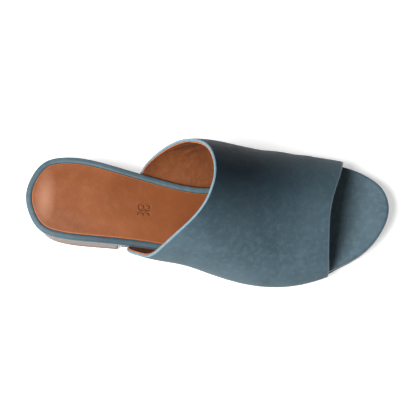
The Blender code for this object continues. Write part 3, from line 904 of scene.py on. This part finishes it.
def make_footbed():
    """The wrapped platform: a rounded rim round a shallow pocket that runs out at the toe."""

    def crowned(share):
        return lambda x, side: footbed_top(x) + RIM_CROWN * share * (1 - bare_toe(x))

    def rolled(turn):
        crown = crowned(ROLL_CROWN * math.cos(turn))
        return lambda x, side: crown(x, side) - RIM_ROUNDING * (1 - math.cos(turn))

    def over_edge(offset):
        return lambda x, side: footbed_edge_bottom(x, side) + offset

    rings = [ring(RIM_WIDTH + GAP / 2, above(pocket_floor, 0))]
    rings += [ring(RIM_WIDTH * wide, crowned(high)) for wide, high in RIM_CURVE]
    for turn in np.linspace(0, math.pi / 2, ROLL_STEPS):
        rings.append(ring(RIM_ROLL * (1 - math.sin(turn)), rolled(turn)))
    rings += [
        ring(0, over_edge(OUTSOLE_CHAMFER)),
        ring(OUTSOLE_CHAMFER * CHAMFER_BEND, over_edge(OUTSOLE_CHAMFER * CHAMFER_BEND)),
        ring(OUTSOLE_CHAMFER, footbed_edge_bottom),
        ring(LASTING_MARGIN + GAP, footbed_edge_bottom),
        ring(LASTING_MARGIN + 2 * GAP, above(footbed_bottom, 0)),
    ]
    # The wrap takes painted shade on its lateral side towards the heel
    wrap = leather(
        "footbed_wrap", (0.053, 0.094, 0.121), (0.075, 0.130, 0.163), (0.16, 0.25, 0.295),
        roughness=0.6, sheen=0.1, grain=0.00006, painted_shade=WRAP_PAINTED_SHADE,
    )
    bm = loft(rings, lambda x, y: pocket_floor(x), lambda x, y: footbed_bottom(x))
    finished_piece("footbed_wrapped", bm, (wrap,), "footbed")


def sock_face(station, side):
    """Height of the sock's face: crowned a little over its middle."""
    away = edge_distance(station, side) - RIM_WIDTH
    return footbed_top(station) + SOCK_CROWN * soft_step(0, SOCK_CROWN_WIDTH, away)


def make_sock():
    """The sock: a thin leather sheet in the footbed's pocket, with a raw edge all round."""
    edge = RIM_WIDTH + GAP
    ends = (SOCK_FRONT, SOCK_FRONT)
    inner = (SOCK_FRONT - RAW_EDGE, SOCK_FRONT - RAW_EDGE)
    rings = [
        ring(edge + RAW_EDGE, above(footbed_top, RIM_CROWN * 0.5), last=inner),
        ring(edge + RAW_EDGE * 0.3, above(footbed_top, RIM_CROWN * 0.3), last=ends),
        ring(edge, above(footbed_top, -RAW_EDGE * 0.4), last=ends),
        ring(edge, above(footbed_top, -SOCK_THICKNESS), last=ends),
    ]
    stamp = ((STAMP_STATION - ORIGIN_STATION, STAMP_SIDE), STAMP_HEIGHT, STAMP_STROKE)
    tan = sock_leather(
        "sock_tan", (0.190, 0.054, 0.015), (0.262, 0.079, 0.024), (0.37, 0.145, 0.068), stamp
    )
    raw = edge_paint("sock_raw_edge", (0.39, 0.125, 0.04), (0.27, 0.085, 0.028))
    bm = loft(
        rings,
        lambda x, y: sock_face(x, y) + RIM_CROWN * 0.5,
        lambda x, y: footbed_top(x) - SOCK_THICKNESS,
        lambda row: 1,
    )
    finished_piece("sock", bm, (tan, raw), "insole")


# The sole and the heel


def outsole_edge(station):
    """The outsole's edge against the footbed's: proud of it where the upper lies over it."""
    table = columns(ENDS_COLUMNS, ENDS)
    first = table["collar"].min() * LENGTH
    last = table["front"].max() * LENGTH
    ramp = LASTING_MARGIN
    return -OUTSOLE_STEP * soft_step(first, first + ramp, station) * (
        1 - soft_step(last - ramp, last, station)
    )


def tread(station, side):
    """Depth of the grooves across the sole, which stop short of its edge."""
    border_end = TREAD_BORDER + TREAD_BORDER_RAMP
    inside = soft_step(TREAD_BORDER, border_end, edge_distance(station, side))
    wave = 0.5 - 0.5 * np.cos(2 * math.pi * station / TREAD_PITCH)
    started = soft_step(TREAD_START, TREAD_START + TREAD_END_RAMP, station)
    ended = soft_step(TREAD_END - TREAD_END_RAMP, TREAD_END, station)
    return TREAD_DEPTH * inside * started * (1 - ended) * wave**3


def make_outsole():
    """A thin sole from the heel breast to the toe, level under the ball and sprung at the toe."""
    chamfer = OUTSOLE_CHAMFER
    bend = chamfer * CHAMFER_BEND
    start = (BREAST_MEDIAL + BREAST_LEAN + GAP, BREAST_LATERAL + BREAST_LEAN + GAP)

    def level(inset, drop):
        return ring(lambda x: outsole_edge(x) + inset, above(outsole_top, -drop), first=start)

    rings = [
        level(chamfer, 0),
        level(bend, bend),
        level(0, chamfer),
        level(0, OUTSOLE_THICKNESS - chamfer),
        level(bend, OUTSOLE_THICKNESS - bend),
        level(chamfer, OUTSOLE_THICKNESS),
    ]
    bm = loft(
        rings,
        lambda x, y: outsole_top(x),
        lambda x, y: outsole_top(x) - OUTSOLE_THICKNESS + tread(x, y),
    )
    sole = rubber("sole_rubber", (0.030, 0.026, 0.025), (0.060, 0.052, 0.048))
    finished_piece("outsole_treaded", bm, (sole,), "outsole")


def heel_ring(inset, height, lean):
    """A ring round the heel, with its breast moved forward by the lean."""
    last = (BREAST_MEDIAL + lean, BREAST_LATERAL + lean)
    return ring(inset, height, last=last)


def make_heel():
    """The block: upright sides, and a breast that curves forward to meet the sole."""

    def part_way(share):
        floor = LIFT_THICKNESS + GAP
        return lambda x, side: floor + (outsole_top(x) - floor) * share

    rings = [
        heel_ring(HEEL_INSET, part_way(share), BREAST_LEAN * lean) for share, lean in BREAST_CURVE
    ]
    stack = stacked(
        "heel_stack_layers", (0.215, 0.138, 0.096), (0.13, 0.078, 0.054), (0.05, 0.03, 0.022)
    )
    bm = loft(rings, lambda x, y: outsole_top(x))
    finished_piece("heel_stacked", bm, (stack,), "heel")


def make_top_lift():
    """The wearing piece under the heel, flat on the floor."""
    chamfer = OUTSOLE_CHAMFER
    bend = chamfer * CHAMFER_BEND
    rings = [
        heel_ring(HEEL_INSET, LIFT_THICKNESS, 0),
        heel_ring(HEEL_INSET, chamfer, 0),
        heel_ring(HEEL_INSET + bend, bend, -bend),
        heel_ring(HEEL_INSET + chamfer, 0, -chamfer),
    ]
    lift = rubber("lift_rubber_dark", (0.040, 0.028, 0.024), (0.075, 0.055, 0.045))
    finished_piece("top_lift_worn", loft(rings), (lift,), "top_lift")


# The studio


def make_floor():
    mesh = bpy.data.meshes.new("floor")
    bm = bmesh.new()
    bmesh.ops.create_grid(bm, x_segments=1, y_segments=1, size=FLOOR_REACH)
    bm.to_mesh(mesh)
    bm.free()
    floor = bpy.data.objects.new("floor", mesh)
    floor.location.z = -FLOOR_DROP
    bpy.context.scene.collection.objects.link(floor)
    material, _, shader, _ = new_material("floor_pale", 0.8, 0.2)
    shader.inputs["Base Color"].default_value = FLOOR_COLOR
    shader.inputs["Emission Color"].default_value = (1, 1, 1, 1)
    shader.inputs["Emission Strength"].default_value = FLOOR_GLOW
    mesh.materials.append(material)


def make_area(name, stand, size, power, color):
    """A round light that points at the shoe."""
    light = bpy.data.lights.new(name, "AREA")
    light.shape = "DISK"
    light.size = size
    light.energy = power
    light.color = color
    lamp = bpy.data.objects.new(name, light)
    lamp.location = stand
    aim = Vector(SHOE_MIDDLE) - Vector(stand)
    lamp.rotation_euler = aim.to_track_quat("-Z", "Y").to_euler()
    bpy.context.scene.collection.objects.link(lamp)


def make_studio():
    make_floor()
    bpy.context.scene.view_settings.view_transform = "Standard"
    make_area("key", *KEY_LIGHT)
    make_area("fill", *FILL_LIGHT)
    world = bpy.data.worlds.new("studio")
    world.use_nodes = True
    sky = world.node_tree.nodes["Background"]
    sky.inputs["Color"].default_value = (1, 1, 1, 1)
    sky.inputs["Strength"].default_value = SKY_STRENGTH
    bpy.context.scene.world = world


def make_camera():
    """The photograph's camera, turned to this shoe, which keeps its tilt in the picture."""
    data = bpy.data.cameras.new("camera")
    data.sensor_width = SENSOR_WIDTH
    data.lens = CAMERA_LENS
    data.clip_start = 0.05
    camera = bpy.data.objects.new("camera", data)
    forward = (Vector(CAMERA_AIM) - Vector(CAMERA_PLACE)).normalized()
    right = forward.cross(Vector(CAMERA_UP)).normalized()
    up = right.cross(forward)
    turn = Matrix((right, up, -forward)).transposed()
    camera.matrix_world = Matrix.Translation(CAMERA_PLACE) @ turn.to_4x4()
    bpy.context.scene.collection.objects.link(camera)
    bpy.context.scene.camera = camera


make_camera()
make_studio()
make_upper()
make_footbed()
make_sock()
make_outsole()
make_heel()
make_top_lift()
